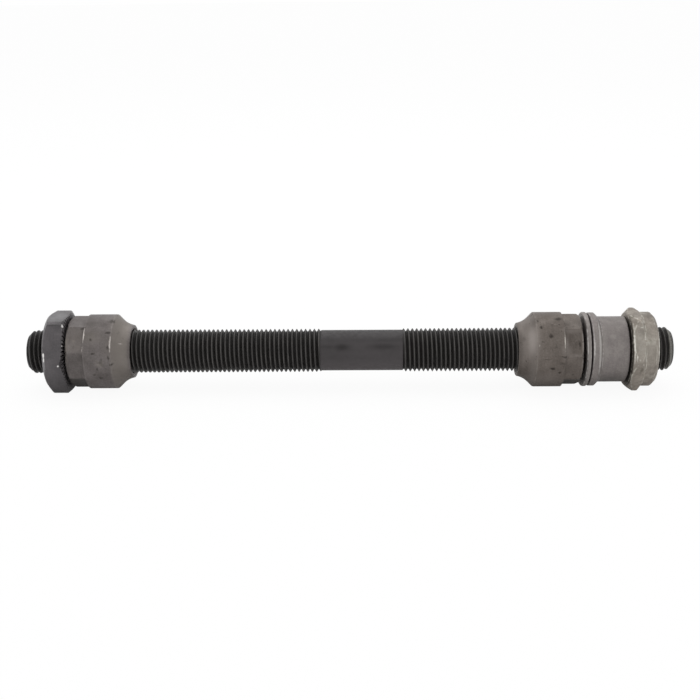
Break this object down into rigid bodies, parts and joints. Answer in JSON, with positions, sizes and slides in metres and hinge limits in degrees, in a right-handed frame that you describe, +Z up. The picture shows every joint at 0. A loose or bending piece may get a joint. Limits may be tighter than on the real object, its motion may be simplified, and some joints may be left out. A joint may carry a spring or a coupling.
{
  "type": "rear hub axle",
  "caption": "Hollow rear wheel axle, threaded from both ends, with two ball cones, a washer, a flanged spacer and two locknuts.",
  "frame": {"origin": "on the axle's centre line at the middle of its length", "axes": "+X along the axle towards the sprocket side, +Z up from the locknut flats that the part lies on, +Y away from the camera"},
  "size_m": [0.145, 0.019, 0.017],
  "materials": {
    "black_steel": "black oxide with a film of oil",
    "dark_steel": "dark grey phosphated, smooth",
    "cone_steel": "hardened and tumbled, warm grey, with dark specks",
    "turned_steel": "satin turned",
    "plated_steel": "dull yellowish zinc, mottled"
  },
  "bodies": {
    "axle": {"axle": "black_steel", "washer": "turned_steel", "spacer": "turned_steel"},
    "left_locknut": {"left_locknut": "dark_steel"},
    "left_cone": {"left_cone": "cone_steel"},
    "right_cone": {"right_cone": "cone_steel"},
    "right_locknut": {"right_locknut": "plated_steel"}
  },
  "joints": [
    {"name": "left_locknut_turn", "type": "hinge", "parent": "axle", "child": "left_locknut", "pos_m": [-0.0654, 0, 0], "axis": [1, 0, 0], "continuous": true},
    {"name": "left_cone_turn", "type": "hinge", "parent": "axle", "child": "left_cone", "pos_m": [-0.0558, 0, 0], "axis": [1, 0, 0], "continuous": true},
    {"name": "right_cone_turn", "type": "hinge", "parent": "axle", "child": "right_cone", "pos_m": [0.0449, 0, 0], "axis": [1, 0, 0], "continuous": true},
    {"name": "right_locknut_turn", "type": "hinge", "parent": "axle", "child": "right_locknut", "pos_m": [0.06545, 0, 0], "axis": [1, 0, 0], "continuous": true}
  ]
}
